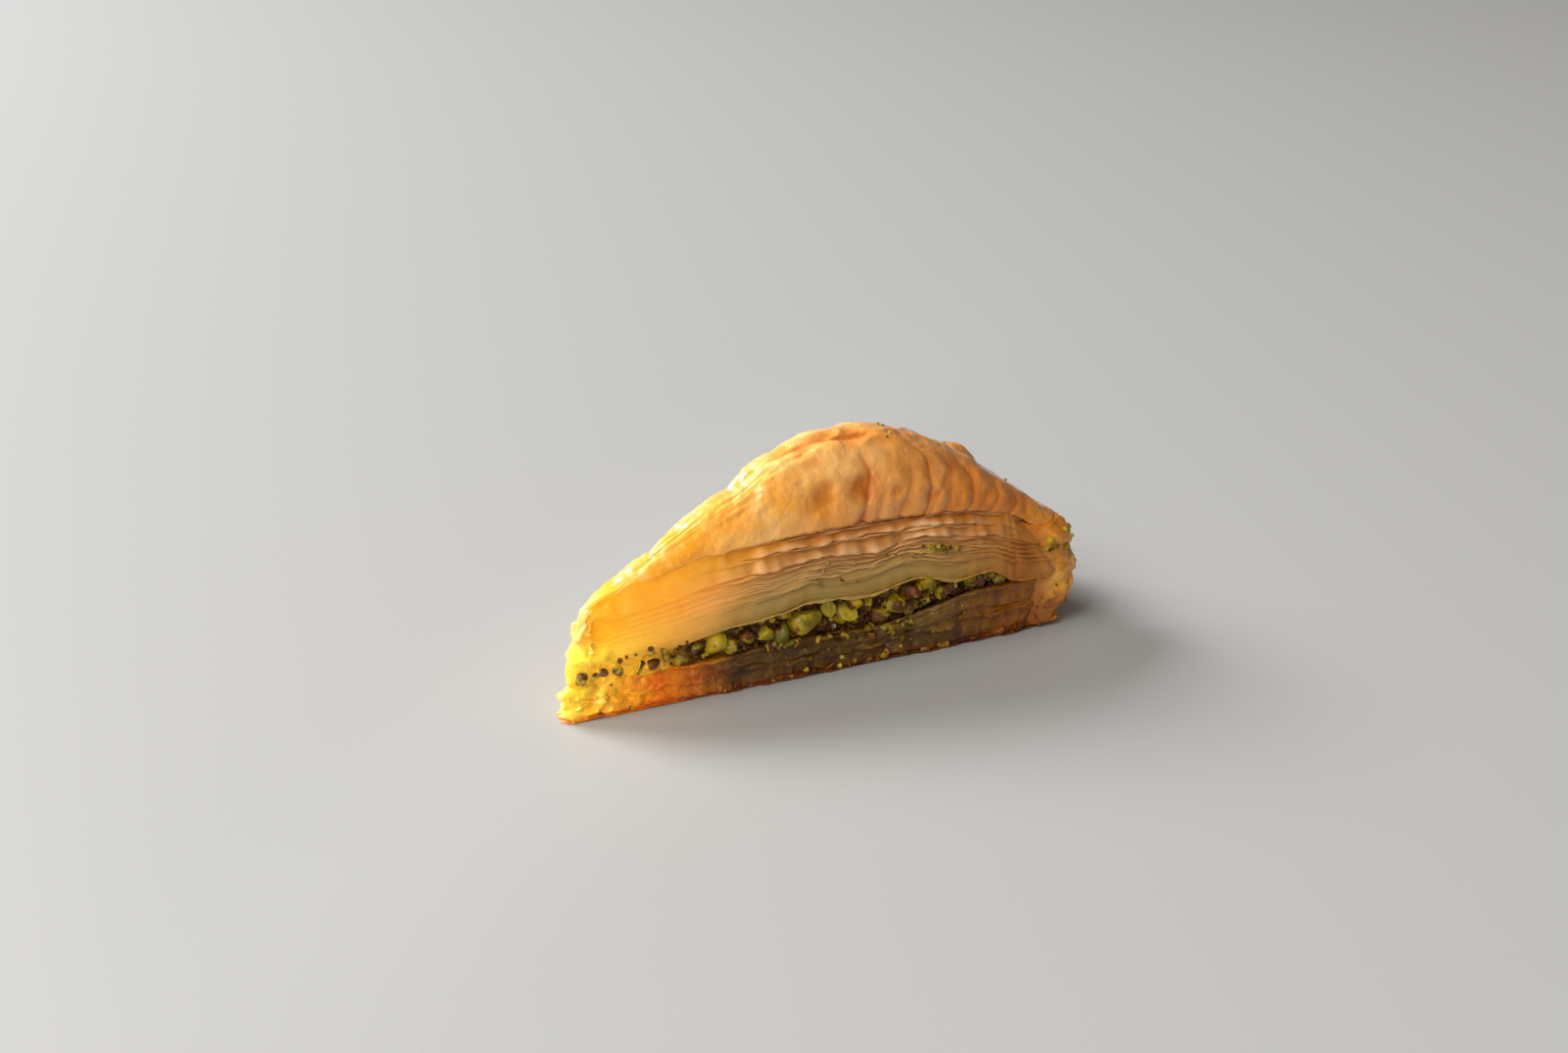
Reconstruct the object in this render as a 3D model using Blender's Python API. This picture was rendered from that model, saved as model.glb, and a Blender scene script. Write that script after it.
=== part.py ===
"""A piece of baklava, cut as a narrow wedge from a round tray.

Three solids lie one on another: the lower stack of pastry sheets, the chopped
pistachio filling, and the upper stack with its puffed crust. Each is a box
with its faces subdivided, whose points are then carried to their places by
the functions below. A point of the box is (along, across, up), each from 0
to 1. Along runs from the wedge's narrow tip to the end that stood against
the tray's wall, and across from the front cut face to the back one.

Heights are above the flat underside. The row frame has +X along the front
cut face towards the wide end, +Y to the back, +Z up, and its origin at the
middle of the underside's bounding box.
"""

from math import cos, pi, radians, sin, sqrt

import bmesh
import bpy
from mathutils import Matrix, Vector, noise

MM = 0.001

# Plan: a sector of the round tray with its tip cut blunt.
WEDGE_ANGLE = radians(19.0)
TIP_RADIUS = 10.5 * MM
WALL_RADIUS = 136.0 * MM
WALL_CORNER = 7.0 * MM
TIP_CORNER = 1.4 * MM
FILLING_END_RADIUS = 127.0 * MM

# Where the tray's middle, the wedge's sharp point, lies in the row frame.
TRAY_CENTRE = Vector((-74.93, -21.9, 0.0)) * MM

# Heights along the slice, as (share of the length, height in mm) pairs.
LOWER_STACK_TOP = ((0.0, 6.6), (0.25, 7.9), (0.5, 9.2), (0.75, 9.4), (1.0, 12.4))
FILLING_TOP = ((0.0, 12.4), (0.2, 13.4), (0.45, 16.8), (0.7, 17.4), (0.92, 16.6), (1.0, 13.6))
WALL_TOP = ((0.0, 20.5), (0.12, 27.5), (0.35, 32.8), (0.7, 33.4), (0.88, 31.0), (1.0, 24.0))
RIDGE = (
    (0.0, 21.0), (0.1, 28.0), (0.28, 40.2), (0.45, 48.9),
    (0.57, 51.4), (0.69, 49.8), (0.83, 41.9), (0.93, 33.3), (1.0, 26.4),
)
SEAM_GAP = 0.3 * MM

# How far each solid's walls stand out of the cut planes, bottom and top, and
# how far its blunt tip does.
LOWER_WALL = (0.2 * MM, 0.5 * MM)
FILLING_WALL = (-0.7 * MM, -1.1 * MM)
UPPER_WALL = (0.9 * MM, -2.2 * MM)
LOWER_TIP = 1.6 * MM
FILLING_TIP = -1.0 * MM
UPPER_TIP = -1.4 * MM
WALL_BULGE = 0.5 * MM
END_BULGE = 5.4 * MM
END_BULGE_HEIGHT = 14.0 * MM
END_BULGE_START = 0.92

# The crust's folds, and the ledges that thick bundles of sheets make.
DOME_POWER = 2.3
FOLD_HEIGHT = 0.7 * MM
FOLDS_ALONG = 13.0
FOLD_LEAN = 2.2
BLISTER_HEIGHT = 0.9 * MM
BLISTER_SIZE = 11.0 * MM
FAR_CORNER_PUFF = 7.0 * MM
LEDGE_DEPTH = 0.35 * MM
NUT_BUMP = 0.8 * MM
NUT_SIZE = 4.5 * MM

CELLS_ALONG = 52
FILLING_CELLS_ALONG = 50
UPPER_CELLS = (12, 6)
FILLING_CELLS = (8, 4)
LOWER_CELLS = (8, 4)

PASTRY = {"colour": (0.72, 0.36, 0.10, 1.0), "roughness": 0.35}
SOAKED_PASTRY = {"colour": (0.42, 0.24, 0.07, 1.0), "roughness": 0.3}
PISTACHIO = {"colour": (0.33, 0.36, 0.05, 1.0), "roughness": 0.6}


def smoothstep(low, high, value):
    """0 below low, 1 above high, and an even rise between them."""
    share = min(1.0, max(0.0, (value - low) / (high - low)))
    return share * share * (3.0 - 2.0 * share)


def curve_through(points, share):
    """The height at share on a smooth curve through (share, height) points."""
    last = len(points) - 2
    step = max(i for i in range(last + 1) if i == 0 or points[i][0] <= share)
    (x0, y0), (x1, y1) = points[step], points[step + 1]
    before = points[max(step - 1, 0)]
    after = points[min(step + 2, last + 1)]
    slope0 = (y1 - before[1]) / (x1 - before[0])
    slope1 = (after[1] - y0) / (after[0] - x0)
    width = x1 - x0
    t = (share - x0) / width
    return (
        (2 * t**3 - 3 * t**2 + 1) * y0
        + (t**3 - 2 * t**2 + t) * width * slope0
        + (3 * t**2 - 2 * t**3) * y1
        + (t**3 - t**2) * width * slope1
    )


def height(points, share):
    return curve_through(points, share) * MM


def seam_low(share):
    """The top of the lower stack."""
    return height(LOWER_STACK_TOP, share)


def seam_high(share):
    """The underside of the upper stack: it meets the lower one past the filling."""
    return max(height(FILLING_TOP, share), seam_low(share) + 1.2 * MM * (1.0 - share))


def corner_loss(distance, corner):
    """How much shorter a row of points is this near a face, for a round corner."""
    if distance >= corner:
        return 0.0
    return corner - sqrt(corner**2 - (corner - distance) ** 2)


def plan_point(along, across, proud, tip_proud, end_proud):
    """(x, y) on the wedge whose faces, tip and end stand proud of the plan."""
    span = WEDGE_ANGLE * min(across, 1.0 - across)
    wall = WALL_RADIUS - corner_loss(span * WALL_RADIUS, WALL_CORNER)
    tip = TIP_RADIUS - tip_proud + corner_loss(span * TIP_RADIUS, TIP_CORNER)
    radius = tip + (wall - tip) * along + end_proud * smoothstep(END_BULGE_START, 1.0, along)
    angle = WEDGE_ANGLE * across
    sideways = proud * (2.0 * across - 1.0)
    return (
        radius * cos(angle) - sideways * sin(angle),
        radius * sin(angle) + sideways * cos(angle),
    )


def to_faces(share):
    """Crowds evenly spaced shares towards 0 and 1, where the walls curve most."""
    return 0.5 - 0.5 * cos(pi * share)


def dome(across):
    """The crust's round back from one cut face to the other, from 0 to 1."""
    return sqrt(max(0.0, 1.0 - abs(2.0 * across - 1.0) ** DOME_POWER))


def crust_relief(x, y, along, across):
    """Folds that fan out over the crust, blisters between them, and the far puff."""
    rounded = dome(across)
    lean = FOLD_LEAN * (across - 0.5)
    fold = sin(2.0 * pi * (FOLDS_ALONG * along + lean))
    blister = noise.noise(Vector((x, y, 0.0)) / BLISTER_SIZE)
    puff = smoothstep(0.68, 0.86, across) * smoothstep(0.88, 0.97, along)
    puff *= 1.0 - smoothstep(0.97, 1.0, along)
    fade = rounded * smoothstep(0.0, 0.15, along) * (1.0 - smoothstep(0.93, 1.0, along))
    relief = FOLD_HEIGHT * fold * (1.0 - 0.6 * rounded) + BLISTER_HEIGHT * blister
    return relief * fade + FAR_CORNER_PUFF * puff * min(1.0, 1.6 * rounded)


def end_bulge(z):
    """The wide end swells out over its foot and draws in again towards the crust."""
    return END_BULGE * max(0.0, sin(pi * min(1.0, z / (2.0 * END_BULGE_HEIGHT))))


def wall_offset(pair, up, rows, row):
    """How far a wall stands out: a lean, a soft belly, and a ledge on every other row."""
    low, high = pair
    ledge = LEDGE_DEPTH if row % 2 and row < rows else 0.0
    return low + (high - low) * up + WALL_BULGE * sin(pi * up) + ledge


def lower_point(along, across, up, row, rows):
    """The lower stack: flat underneath, its top under the filling."""
    z = up * (seam_low(along) - SEAM_GAP / 2)
    proud = wall_offset(LOWER_WALL, up, rows, row)
    x, y = plan_point(along, to_faces(across), proud, LOWER_TIP, end_bulge(z))
    return Vector((x, y, z))


def filling_point(along, across, up, row, rows):
    """The filling, out to its uneven nuts at the cut faces and the tip."""
    along *= (FILLING_END_RADIUS - TIP_RADIUS) / (WALL_RADIUS - TIP_RADIUS)
    low, high = seam_low(along) + SEAM_GAP / 2, seam_high(along) - SEAM_GAP / 2
    z = low + (high - low) * up
    x, y = plan_point(along, to_faces(across), 0.0, FILLING_TIP, 0.0)
    bump = NUT_BUMP * noise.noise(Vector((x, y, z)) / NUT_SIZE) if 0 < row < rows else 0.0
    proud = FILLING_WALL[0] + (FILLING_WALL[1] - FILLING_WALL[0]) * up + bump
    x, y = plan_point(along, to_faces(across), proud, FILLING_TIP, 0.0)
    return Vector((x, y, z))


def upper_point(along, across, up, row, rows):
    """The upper stack: leaning cut walls with a lip below, and the domed crust."""
    across = to_faces(across)
    low = seam_high(along) + SEAM_GAP / 2
    wall_top = height(WALL_TOP, along)
    wall_z = low + (wall_top - low) * up
    proud = wall_offset(UPPER_WALL, up, rows, row)
    x, y = plan_point(along, across, proud, UPPER_TIP, end_bulge(wall_z))
    crown = (height(RIDGE, along) - wall_top) * dome(across)
    crown += crust_relief(x, y, along, across)
    return Vector((x, y, wall_z + crown * up**2))


def subdivided_box(cells):
    """A closed box from 0 to 1 each way, with its faces cut into cells."""
    box = bmesh.new()
    bmesh.ops.create_cube(box, size=1.0, matrix=Matrix.Translation((0.5, 0.5, 0.5)))
    for axis, count in enumerate(cells):
        run = [e for e in box.edges if abs(e.verts[0].co[axis] - e.verts[1].co[axis]) > 0.5]
        bmesh.ops.subdivide_edges(box, edges=run, cuts=count - 1, use_grid_fill=True)
    return box


def food_material(name, finish):
    material = bpy.data.materials.new(name)
    material.use_nodes = True
    shader = material.node_tree.nodes["Principled BSDF"]
    shader.inputs["Base Color"].default_value = finish["colour"]
    shader.inputs["Roughness"].default_value = finish["roughness"]
    shader.inputs["Metallic"].default_value = 0.0
    material.diffuse_color = finish["colour"]
    return material


def add_solid(name, cells, place, material, collection):
    """A named solid: a subdivided box whose points are carried to place(...)."""
    box = subdivided_box(cells)
    for vert in box.verts:
        along, across, up = vert.co
        vert.co = TRAY_CENTRE + place(along, across, up, round(up * cells[2]), cells[2])
    mesh = bpy.data.meshes.new(name)
    box.to_mesh(mesh)
    box.free()
    mesh.materials.append(material)
    mesh.shade_smooth()
    mesh.set_sharp_from_angle(angle=radians(50.0))
    solid = bpy.data.objects.new(name, mesh)
    collection.objects.link(solid)
    return solid


def clear_scene():
    for old in list(bpy.data.objects):
        bpy.data.objects.remove(old, do_unlink=True)


def build():
    clear_scene()
    collection = bpy.data.collections.new("baklava_piece")
    bpy.context.scene.collection.children.link(collection)
    crust = food_material("baked_pastry", PASTRY)
    soaked = food_material("soaked_pastry", SOAKED_PASTRY)
    nuts = food_material("pistachio", PISTACHIO)
    add_solid("lower_pastry", (CELLS_ALONG, *LOWER_CELLS), lower_point, soaked, collection)
    add_solid("nut_filling", (FILLING_CELLS_ALONG, *FILLING_CELLS), filling_point, nuts, collection)
    add_solid("upper_pastry", (CELLS_ALONG, *UPPER_CELLS), upper_point, crust, collection)


build()
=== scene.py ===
"""The looks of a piece of pistachio baklava, a long wedge cut from a round tray.

It is put together from the plate up: the soaked lower sheets, the chopped nut
filling, the upper sheets, the puffed crust over them, the baked rim at the
wide end, and the loose crumbs and flakes.
"""
from math import acos, cos, exp, pi, radians, sin, sqrt
from random import Random

import bmesh
import bpy
from mathutils import Matrix, Vector, noise


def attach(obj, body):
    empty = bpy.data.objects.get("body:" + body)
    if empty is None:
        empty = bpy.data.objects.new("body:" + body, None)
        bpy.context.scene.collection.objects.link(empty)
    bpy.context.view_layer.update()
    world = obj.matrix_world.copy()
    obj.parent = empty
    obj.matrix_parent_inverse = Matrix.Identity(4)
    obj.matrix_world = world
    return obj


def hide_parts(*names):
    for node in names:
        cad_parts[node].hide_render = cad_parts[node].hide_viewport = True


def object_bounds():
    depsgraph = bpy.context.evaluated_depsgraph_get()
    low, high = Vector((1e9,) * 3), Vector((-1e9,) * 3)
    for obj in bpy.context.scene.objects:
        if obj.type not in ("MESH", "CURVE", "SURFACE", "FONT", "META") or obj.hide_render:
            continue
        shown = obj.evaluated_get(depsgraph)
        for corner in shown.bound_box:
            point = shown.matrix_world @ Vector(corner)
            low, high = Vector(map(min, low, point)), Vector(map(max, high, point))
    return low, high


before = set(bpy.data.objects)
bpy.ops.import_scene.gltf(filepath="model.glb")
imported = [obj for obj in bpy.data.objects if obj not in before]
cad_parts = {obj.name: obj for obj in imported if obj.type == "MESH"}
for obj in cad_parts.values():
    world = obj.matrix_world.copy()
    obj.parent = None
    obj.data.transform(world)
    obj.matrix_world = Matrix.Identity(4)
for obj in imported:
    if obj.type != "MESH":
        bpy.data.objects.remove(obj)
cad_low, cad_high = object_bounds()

# ---------------------------------------------------------------------------
# Lower stack: about twenty thin sheets under the nuts, pressed flat and soaked
# with syrup. The knife leaves them as fine wet ledges, and the sheet that lay
# on the tray's bottom is baked to a ragged red-brown edge.
# ---------------------------------------------------------------------------
MM = 0.001
WEDGE_ANGLE = radians(19.0)
TIP_RADIUS = 10.5 * MM
WALL_RADIUS = 136.0 * MM
WALL_CORNER = 7.0 * MM
TIP_CORNER = 1.4 * MM
END_BULGE = 5.4 * MM
END_BULGE_HEIGHT = 14.0 * MM
END_BULGE_START = 0.92
STACK_END_INSET = 2.0 * MM
LENGTH = WALL_RADIUS - TIP_RADIUS

# The tray's middle, the wedge's sharp point, from the corner of the solids' box.
TRAY_CENTRE = Vector((cad_low.x - 8.61 * MM, cad_low.y + 1.13 * MM, 0.0))

# Heights in mm at shares of the length.
LOWER_STACK_TOP = (
    (0.0, 8.6), (0.08, 8.6), (0.2, 8.2), (0.35, 8.6), (0.5, 9.2),
    (0.6, 8.3), (0.7, 9.6), (0.82, 12.2), (0.93, 12.6), (1.0, 12.0),
)
LIP = (
    (0.0, 13.2), (0.07, 12.9), (0.15, 13.0), (0.22, 13.5), (0.31, 15.2), (0.4, 15.9), (0.47, 17.7),
    (0.53, 17.2), (0.61, 16.7), (0.71, 18.6), (0.8, 16.2), (0.88, 16.9), (0.935, 13.2), (1.0, 12.2),
)
NUTS_START = 0.17
NUTS_END = 0.928


def clamp(value):
    """The value, kept between 0 and 1."""
    return min(1.0, max(0.0, value))


def smoothstep(low, high, value):
    """0 below low, 1 above high, and an even rise between them."""
    share = clamp((value - low) / (high - low))
    return share * share * (3.0 - 2.0 * share)


def curve_through(points, share):
    """The height at share on a smooth curve through (share, height) points."""
    last = len(points) - 2
    step = max(i for i in range(last + 1) if i == 0 or points[i][0] <= share)
    (x0, y0), (x1, y1) = points[step], points[step + 1]
    before = points[max(step - 1, 0)]
    after = points[min(step + 2, last + 1)]
    slope0 = (y1 - before[1]) / (x1 - before[0])
    slope1 = (after[1] - y0) / (after[0] - x0)
    width = x1 - x0
    t = (share - x0) / width
    return (
        (2 * t**3 - 3 * t**2 + 1) * y0
        + (t**3 - 2 * t**2 + t) * width * slope0
        + (3 * t**2 - 2 * t**3) * y1
        + (t**3 - t**2) * width * slope1
    )


def height(points, share):
    """The same curve in metres, held level past its ends."""
    return curve_through(points, clamp(share)) * MM


def corner_loss(distance, corner):
    """How much shorter a row of points is this near a face, for a round corner."""
    if distance >= corner:
        return 0.0
    return corner - sqrt(corner**2 - (corner - distance) ** 2)


def radius_at(along):
    """How far from the tray's middle a share of the length lies."""
    return TIP_RADIUS + LENGTH * along


def plan_point(along, across, proud=0.0, end_proud=0.0, tip_proud=0.0):
    """(x, y) on the wedge whose faces, end and tip stand proud of the plan."""
    span = WEDGE_ANGLE * min(across, 1.0 - across)
    wall = WALL_RADIUS - corner_loss(span * WALL_RADIUS, WALL_CORNER)
    tip = TIP_RADIUS + corner_loss(span * TIP_RADIUS, TIP_CORNER)
    radius = tip + (wall - tip) * along + end_proud * smoothstep(END_BULGE_START, 1.0, along)
    radius -= tip_proud * (1.0 - smoothstep(0.0, 0.04, along))
    angle = WEDGE_ANGLE * across
    sideways = proud * (2.0 * across - 1.0)
    x = TRAY_CENTRE.x + radius * cos(angle) - sideways * sin(angle)
    y = TRAY_CENTRE.y + radius * sin(angle) + sideways * cos(angle)
    return x, y


def to_faces(share):
    """Crowds evenly spaced shares towards 0 and 1, where the cut faces are."""
    return 0.5 - 0.5 * cos(pi * share)


def edge_closeness(along, across, depth):
    """1 on the cut faces, the tip and the end, and fading inwards over depth."""
    gap = WEDGE_ANGLE * min(across, 1.0 - across) * radius_at(along)
    return exp(-min(gap, (1.0 - along) * LENGTH, along * LENGTH) / depth)


def end_bulge(z):
    """The wide end swells out over its foot and draws in again towards the crust."""
    return END_BULGE * max(0.0, sin(pi * clamp(z / (2.0 * END_BULGE_HEIGHT))))


def stack_end(z, proud):
    """How far a stack's wide end stands out: set back under the baked rim."""
    return end_bulge(z) - STACK_END_INSET + 0.5 * proud


def rough(x, y, z, size, seed=0.0):
    """Smooth noise from -1 to 1 whose lumps are about size across."""
    return noise.noise(Vector((x / size, y / size, z / size + seed)))


def box_form(cells, place):
    """A closed box of cells, whose points place() carries to their spots.

    place() also gives each point three tint values, kept as the place attribute:
    mostly the share of the length, the share of the height, and how hollow it is.
    """
    form = bmesh.new()
    bmesh.ops.create_cube(form, size=1.0, matrix=Matrix.Translation((0.5, 0.5, 0.5)))
    for axis, count in enumerate(cells):
        run = [e for e in form.edges if abs(e.verts[0].co[axis] - e.verts[1].co[axis]) > 0.5]
        bmesh.ops.subdivide_edges(form, edges=run, cuts=count - 1, use_grid_fill=True)
    tint = form.verts.layers.float_color.new("place")
    for vert in form.verts:
        spot, values = place(*vert.co)
        vert.co = spot
        vert[tint] = (*values, 1.0)
    return form


def add_piece(name, form, finish):
    """The finished piece, in place in its mesh, riding on the food's one body."""
    mesh = bpy.data.meshes.new(name)
    form.to_mesh(mesh)
    form.free()
    mesh.materials.append(finish)
    mesh.shade_smooth()
    piece = bpy.data.objects.new(name, mesh)
    bpy.context.scene.collection.objects.link(piece)
    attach(piece, "root")
    return piece


# How many streaks there are to the length and to the height of a stack.
STREAKS_ALONG_AND_UP = (16.0, 60.0, 0.0)
SYRUP_GLOSS = 0.12
PASTRY_GLOW = (1.0, 0.4, 0.12)


def new_group(name, inputs, outputs):
    """A shader node group with named sockets, and its input and output nodes."""
    group = bpy.data.node_groups.new(name, "ShaderNodeTree")
    for label, kind, value in inputs:
        socket = group.interface.new_socket(name=label, in_out="INPUT", socket_type=kind)
        socket.default_value = value
    for label, kind in outputs:
        group.interface.new_socket(name=label, in_out="OUTPUT", socket_type=kind)
    return group, group.nodes.new("NodeGroupInput"), group.nodes.new("NodeGroupOutput")


def spread_contrast(group, value, contrast, mask):
    """Stretches a noise value about its middle by the contrast, into a mask from 0 to 1."""
    centred = group.nodes.new("ShaderNodeMath")
    centred.operation = "SUBTRACT"
    centred.inputs[1].default_value = 0.5
    group.links.new(value, centred.inputs[0])
    stretched = group.nodes.new("ShaderNodeMath")
    stretched.operation = "MULTIPLY_ADD"
    stretched.use_clamp = True
    stretched.inputs[2].default_value = 0.5
    group.links.new(centred.outputs[0], stretched.inputs[0])
    group.links.new(contrast, stretched.inputs[1])
    group.links.new(stretched.outputs[0], mask)


def build_streaks():
    """Fine lines that follow the sheets from tip to end, as a mask from 0 to 1."""
    group, taken, given = new_group(
        "sheet_streaks",
        [("Contrast", "NodeSocketFloat", 3.0)],
        [("Mask", "NodeSocketFloat")],
    )
    nodes, links = group.nodes, group.links
    place = nodes.new("ShaderNodeAttribute")
    place.attribute_name = "place"
    mapping = nodes.new("ShaderNodeMapping")
    mapping.inputs["Scale"].default_value = STREAKS_ALONG_AND_UP
    texture = nodes.new("ShaderNodeTexNoise")
    texture.inputs["Scale"].default_value = 1.0
    texture.inputs["Detail"].default_value = 3.0
    texture.inputs["Distortion"].default_value = 0.5
    links.new(place.outputs["Color"], mapping.inputs["Vector"])
    links.new(mapping.outputs["Vector"], texture.inputs["Vector"])
    spread_contrast(group, texture.outputs["Fac"], taken.outputs["Contrast"], given.inputs["Mask"])
    return group


def build_patches():
    """Soft uneven patches of a chosen size, as a mask from 0 to 1."""
    group, taken, given = new_group(
        "baked_patches",
        [("Scale", "NodeSocketFloat", 90.0), ("Contrast", "NodeSocketFloat", 3.0)],
        [("Mask", "NodeSocketFloat")],
    )
    nodes, links = group.nodes, group.links
    where = nodes.new("ShaderNodeTexCoord")
    texture = nodes.new("ShaderNodeTexNoise")
    texture.inputs["Detail"].default_value = 4.0
    texture.inputs["Distortion"].default_value = 0.4
    links.new(where.outputs["Object"], texture.inputs["Vector"])
    links.new(taken.outputs["Scale"], texture.inputs["Scale"])
    spread_contrast(group, texture.outputs["Fac"], taken.outputs["Contrast"], given.inputs["Mask"])
    return group


STREAKS = build_streaks()
PATCHES = build_patches()


class Finish:
    """A material in the making: its Principled shader, and short ways to add nodes."""

    def __init__(self, name, roughness, coat=0.0, subsurface=0.0, scale=2.0 * MM):
        self.material = bpy.data.materials.new(name)
        self.material.use_nodes = True
        self.nodes = self.material.node_tree.nodes
        self.links = self.material.node_tree.links
        self.shader = self.nodes["Principled BSDF"]
        self.shader.inputs["Roughness"].default_value = roughness
        self.shader.inputs["Specular IOR Level"].default_value = 0.3
        self.shader.inputs["Coat Weight"].default_value = coat
        self.shader.inputs["Coat Roughness"].default_value = SYRUP_GLOSS
        self.shader.inputs["Subsurface Weight"].default_value = subsurface
        self.shader.inputs["Subsurface Radius"].default_value = PASTRY_GLOW
        self.shader.inputs["Subsurface Scale"].default_value = scale
        place = self.nodes.new("ShaderNodeAttribute")
        place.attribute_name = "place"
        split = self.nodes.new("ShaderNodeSeparateColor")
        self.links.new(place.outputs["Color"], split.inputs["Color"])
        self.along, self.level, self.hollow = (split.outputs[i] for i in range(3))

    def group(self, tree, **values):
        """The mask of a node group, with its inputs set to the values given."""
        node = self.nodes.new("ShaderNodeGroup")
        node.node_tree = tree
        for label, value in values.items():
            node.inputs[label].default_value = value
        return node.outputs["Mask"]

    def ramp(self, value, stops):
        """A colour ramp read at value; stops are (position, colour) pairs."""
        node = self.nodes.new("ShaderNodeValToRGB")
        bar = node.color_ramp
        while len(bar.elements) < len(stops):
            bar.elements.new(0.5)
        for element, (position, colour) in zip(bar.elements, stops):
            element.position = position
            element.color = (*colour, 1.0)
        self.links.new(value, node.inputs["Fac"])
        return node.outputs["Color"]

    def mask(self, value, *stops):
        """A grey ramp read at value; stops are (position, grey) pairs."""
        return self.ramp(value, [(position, (grey, grey, grey)) for position, grey in stops])

    def feed(self, value, socket):
        """Sets a socket to a plain number or colour, or links another socket to it."""
        if isinstance(value, (int, float)):
            socket.default_value = value
        elif isinstance(value, tuple):
            socket.default_value = (*value, 1.0)
        else:
            self.links.new(value, socket)

    def mix(self, factor, one, other):
        """Colour one turned into the other by factor; each is a socket or a plain value."""
        node = self.nodes.new("ShaderNodeMix")
        node.data_type = "RGBA"
        for index, value in ((0, factor), (6, one), (7, other)):
            self.feed(value, node.inputs[index])
        return node.outputs[2]

    def maths(self, operation, one, other):
        """The result of a sum or product, kept between 0 and 1."""
        node = self.nodes.new("ShaderNodeMath")
        node.operation = operation
        node.use_clamp = True
        self.feed(one, node.inputs[0])
        self.feed(other, node.inputs[1])
        return node.outputs[0]

    def bump(self, height_socket, distance, strength=1.0):
        """Fine relief that the mesh is too coarse for."""
        node = self.nodes.new("ShaderNodeBump")
        node.inputs["Strength"].default_value = strength
        node.inputs["Distance"].default_value = distance
        self.links.new(height_socket, node.inputs["Height"])
        self.links.new(node.outputs["Normal"], self.shader.inputs["Normal"])

    def colour(self, socket):
        """The socket becomes the surface's colour."""
        self.links.new(socket, self.shader.inputs["Base Color"])


def srgb(red, green, blue):
    """The linear colour of an 8-bit screen colour."""
    def linear(value):
        share = value / 255.0
        return share / 12.92 if share <= 0.04045 else ((share + 0.055) / 1.055) ** 2.4
    return linear(red), linear(green), linear(blue)


SHEET_GLOW_DEPTH = 0.6 * MM

# Rows of points for each bundle of sheets, as shares from its lower edge up.
BUNDLE_SHARES = (0.0, 0.06, 0.2, 0.4, 0.6, 0.8, 0.95)


def bundle_rows(bounds):
    """(level, bundle, share) of each row, for bundles between the levels in bounds."""
    rows = []
    for bundle, (low, high) in enumerate(zip(bounds, bounds[1:])):
        rows += [(low + (high - low) * share, bundle, share) for share in BUNDLE_SHARES]
    return [*rows, (bounds[-1], len(bounds) - 2, 1.0)]


def hang(share):
    """How far a bundle stands out of the wall: most just above its lower edge."""
    return (0.5 + 0.5 * min(1.0, share / 0.06)) * (1.0 - share) ** 0.8


def soaked_finish():
    """Wet sheets: olive brown, golden and clear at the tip with a painted glow there, dark at the foot.

    The edges of the bundles carry a painted highlight and their hollows painted shade.
    """
    finish = Finish("soaked_pastry", 0.3, coat=0.4, subsurface=0.15, scale=SHEET_GLOW_DEPTH)
    streaks = finish.group(STREAKS, Contrast=2.2)
    patches = finish.group(PATCHES, Scale=130.0, Contrast=4.0)
    body = finish.mix(patches, srgb(46, 20, 0), srgb(88, 60, 2))
    body = finish.mix(finish.maths("MULTIPLY", streaks, 0.4), body, srgb(126, 88, 20))
    # Painted highlight: paler where a bundle's edge stands out of the wall.
    painted_crest_highlight = finish.mask(finish.hollow, (0.0, 0.8), (0.4, 0.0))
    body = finish.mix(painted_crest_highlight, body, srgb(150, 108, 38))
    drier = finish.maths(
        "MULTIPLY",
        finish.mask(finish.level, (0.45, 0.0), (0.85, 0.7)),
        finish.mask(finish.along, (0.52, 0.0), (0.66, 1.0)),
    )
    body = finish.mix(drier, body, finish.mix(streaks, srgb(104, 76, 24), srgb(160, 126, 64)))
    # Painted shade: darker in the hollows between the bundles.
    hollow = finish.mask(finish.hollow, (0.6, 0.0), (1.0, 0.6))
    body = finish.mix(hollow, body, srgb(42, 16, 0))
    # Golden at the tip, brightened as a painted glow of light coming through the thin sheets.
    tip = finish.mask(finish.along, (0.0, 1.0), (0.1, 0.9), (0.2, 0.65), (0.32, 0.0))
    nose = finish.mask(finish.along, (0.0, 1.0), (0.16, 0.0))
    amber = finish.mix(patches, srgb(240, 112, 0), srgb(255, 158, 8))
    painted_glow_gold = finish.mix(nose, amber, srgb(255, 212, 56))
    body = finish.mix(tip, body, painted_glow_gold)
    far = finish.mask(finish.along, (0.76, 0.0), (0.95, 0.9))
    body = finish.mix(far, body, finish.mix(patches, srgb(128, 66, 4), srgb(160, 98, 18)))
    foot = finish.mask(finish.level, (0.0, 0.9), (0.1, 0.75), (0.26, 0.0))
    # At the tip the foot is orange, part of the same painted glow.
    base = finish.mix(tip, finish.mix(patches, srgb(66, 20, 0), srgb(112, 48, 0)), srgb(196, 82, 2))
    finish.colour(finish.mix(foot, body, base))
    finish.bump(finish.group(PATCHES, Scale=520.0, Contrast=2.5), 0.4 * MM, 0.9)
    return finish.material


LOWER_BUNDLES = (0.0, 0.12, 0.42, 0.6, 0.9, 1.0)
LOWER_ROWS = bundle_rows(LOWER_BUNDLES)
LOWER_EDGE_DEPTH = 2.5 * MM
LOWEST_SHEET = 0.15 * MM


def lower_wave(x, y, level):
    """How far the lower sheets' lines wander up and down, as a share of the stack."""
    broad = 0.16 * rough(x, y, 0.0, 14.0 * MM, 2.0 * level)
    narrow = 0.1 * rough(x, y, 0.0, 4.5 * MM, 3.2 * level)
    return (broad + narrow) * sin(pi * level)


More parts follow.
